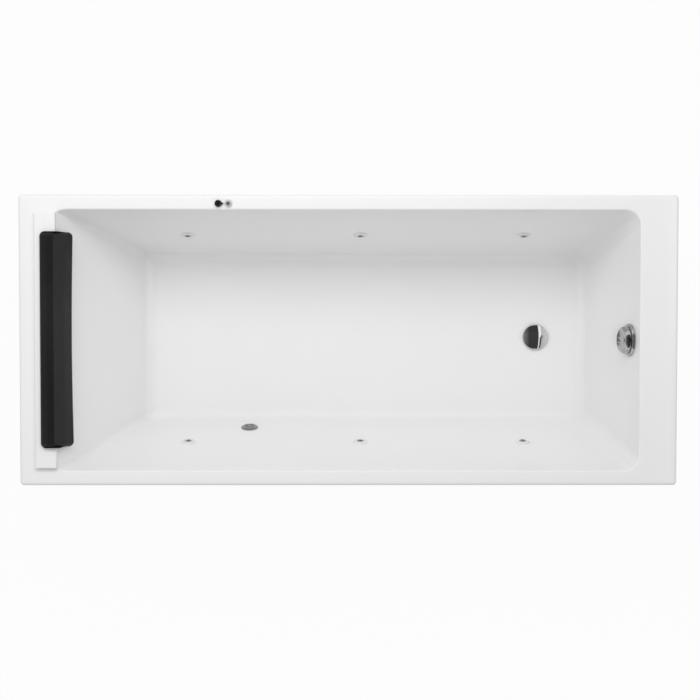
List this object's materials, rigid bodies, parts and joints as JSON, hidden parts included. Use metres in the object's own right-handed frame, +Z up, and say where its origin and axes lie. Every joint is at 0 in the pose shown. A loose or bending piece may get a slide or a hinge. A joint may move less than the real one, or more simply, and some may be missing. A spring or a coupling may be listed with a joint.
{
  "type": "jetted bathtub",
  "caption": "Rectangular built-in jetted bathtub with a leaning backrest, headrest pad, side jets, pump, pop-up waste and rim controls.",
  "frame": {"origin": "middle of the bath's outline, on the floor under its feet", "axes": "+X along the tub from the head end to the tap end, +Y across it to the rim that carries the controls, +Z up"},
  "size_m": [1.7, 0.75, 0.6019],
  "materials": {
    "acrylic": "glossy white sanitary acrylic",
    "pad_black": "satin black integral-skin foam",
    "chrome": "polished",
    "jet_chrome": "polished, satin bore",
    "particle_board": "pressed chipboard, sealed",
    "timber": "sawn softwood",
    "zinc_steel": "galvanised",
    "zinc_fastener": "zinc plated",
    "black_plastic": "moulded, fine texture",
    "seal_rubber": "matt",
    "white_pvc": "smooth extruded",
    "grey_pp": "moulded",
    "hose_grey": "flexible, ribbed",
    "hose_clear": "translucent soft tube",
    "cable_black": "sheathed cable",
    "motor_paint": "painted, satin",
    "spring_steel": "drawn wire"
  },
  "bodies": {
    "root": {"tub_shell": "acrylic", "headrest_plinth": "acrylic", "base_board": "particle_board", "side_battens": "timber", "end_battens": "timber", "cross_rails": "zinc_steel", "frame_screws": "zinc_fastener", "foot_pad_1": "black_plastic", "foot_pad_2": "black_plastic", "foot_pad_3": "black_plastic", "foot_pad_4": "black_plastic", "foot_studs": "zinc_fastener", "lock_nuts": "zinc_fastener", "waste_flange": "chrome", "waste_gasket": "seal_rubber", "waste_body": "white_pvc", "trap_body": "white_pvc", "trap_cap": "white_pvc", "overflow_plate": "chrome", "overflow_body": "white_pvc", "overflow_hose": "hose_grey", "popup_cable": "cable_black", "jet_body_1": "grey_pp", "jet_body_2": "grey_pp", "jet_body_3": "grey_pp", "jet_body_4": "grey_pp", "jet_body_5": "grey_pp", "jet_body_6": "grey_pp", "jet_rings": "jet_chrome", "suction_body": "grey_pp", "suction_cover": "chrome", "pump_volute": "black_plastic", "pump_motor": "motor_paint", "fan_cover": "black_plastic", "pump_base": "zinc_steel", "terminal_box": "black_plastic", "cable_gland": "black_plastic", "suction_hose": "hose_grey", "delivery_tee": "white_pvc", "water_pipe_front": "white_pvc", "water_pipe_back": "white_pvc", "air_pipe": "hose_clear", "air_hose": "hose_clear", "air_valve_body": "grey_pp", "start_button_body": "chrome", "button_spring": "spring_steel", "signal_tube": "hose_clear"},
    "headrest": {"headrest_pad": "pad_black", "headrest_pegs": "black_plastic"},
    "overflow_knob": {"overflow_knob": "chrome"},
    "waste_plug": {"waste_plug": "chrome"},
    "jet_nozzle_1": {"jet_nozzle_1": "jet_chrome"},
    "jet_nozzle_2": {"jet_nozzle_2": "jet_chrome"},
    "jet_nozzle_3": {"jet_nozzle_3": "jet_chrome"},
    "jet_nozzle_4": {"jet_nozzle_4": "jet_chrome"},
    "jet_nozzle_5": {"jet_nozzle_5": "jet_chrome"},
    "jet_nozzle_6": {"jet_nozzle_6": "jet_chrome"},
    "air_valve_dial": {"air_valve_dial": "chrome"},
    "start_button": {"start_button": "chrome"},
    "pump_rotor": {"pump_rotor": "black_plastic"}
  },
  "joints": [
    {"name": "headrest_lift", "type": "slide", "parent": "root", "child": "headrest", "axis": [0, 0, 1], "range_m": [0, 0.04]},
    {"name": "overflow_knob_turn", "type": "hinge", "parent": "root", "child": "overflow_knob", "pos_m": [0.74, 0, 0.5], "axis": [-0.9856, 0, 0.169], "range_deg": [0, 90]},
    {"name": "waste_plug_lift", "type": "slide", "parent": "root", "child": "waste_plug", "axis": [0, 0, 1], "range_m": [0, 0.012]},
    {"name": "jet_nozzle_1_swivel", "type": "hinge", "parent": "root", "child": "jet_nozzle_1", "pos_m": [-0.44, 0.28692, 0.35528], "axis": [0, 0.2404, 0.9707], "range_deg": [-15, 15]},
    {"name": "jet_nozzle_2_swivel", "type": "hinge", "parent": "root", "child": "jet_nozzle_2", "pos_m": [0.032, 0.28692, 0.35528], "axis": [0, 0.2404, 0.9707], "range_deg": [-15, 15]},
    {"name": "jet_nozzle_3_swivel", "type": "hinge", "parent": "root", "child": "jet_nozzle_3", "pos_m": [0.48, 0.28692, 0.35528], "axis": [0, 0.2404, 0.9707], "range_deg": [-15, 15]},
    {"name": "jet_nozzle_4_swivel", "type": "hinge", "parent": "root", "child": "jet_nozzle_4", "pos_m": [-0.44, -0.28692, 0.35528], "axis": [0, -0.2404, 0.9707], "range_deg": [-15, 15]},
    {"name": "jet_nozzle_5_swivel", "type": "hinge", "parent": "root", "child": "jet_nozzle_5", "pos_m": [0.032, -0.28692, 0.35528], "axis": [0, -0.2404, 0.9707], "range_deg": [-15, 15]},
    {"name": "jet_nozzle_6_swivel", "type": "hinge", "parent": "root", "child": "jet_nozzle_6", "pos_m": [0.48, -0.28692, 0.35528], "axis": [0, -0.2404, 0.9707], "range_deg": [-15, 15]},
    {"name": "air_valve_dial_turn", "type": "hinge", "parent": "root", "child": "air_valve_dial", "pos_m": [-0.336, 0.352, 0.57], "axis": [0, 0, 1], "range_deg": [0, 180]},
    {"name": "start_button_press", "type": "slide", "parent": "root", "child": "start_button", "axis": [0, 0, -1], "range_m": [0, 0.003], "stiffness_N_per_m": 400, "springref_m": -0.003, "deforming": ["button_spring"]},
    {"name": "pump_rotor_spin", "type": "hinge", "parent": "root", "child": "pump_rotor", "pos_m": [-0.742, 0, 0.107], "axis": [0, 1, 0], "continuous": true}
  ],
  "couplings": [
    {"joint": "waste_plug_lift", "follows": "overflow_knob_turn", "m_per_rad": 0.00763}
  ]
}
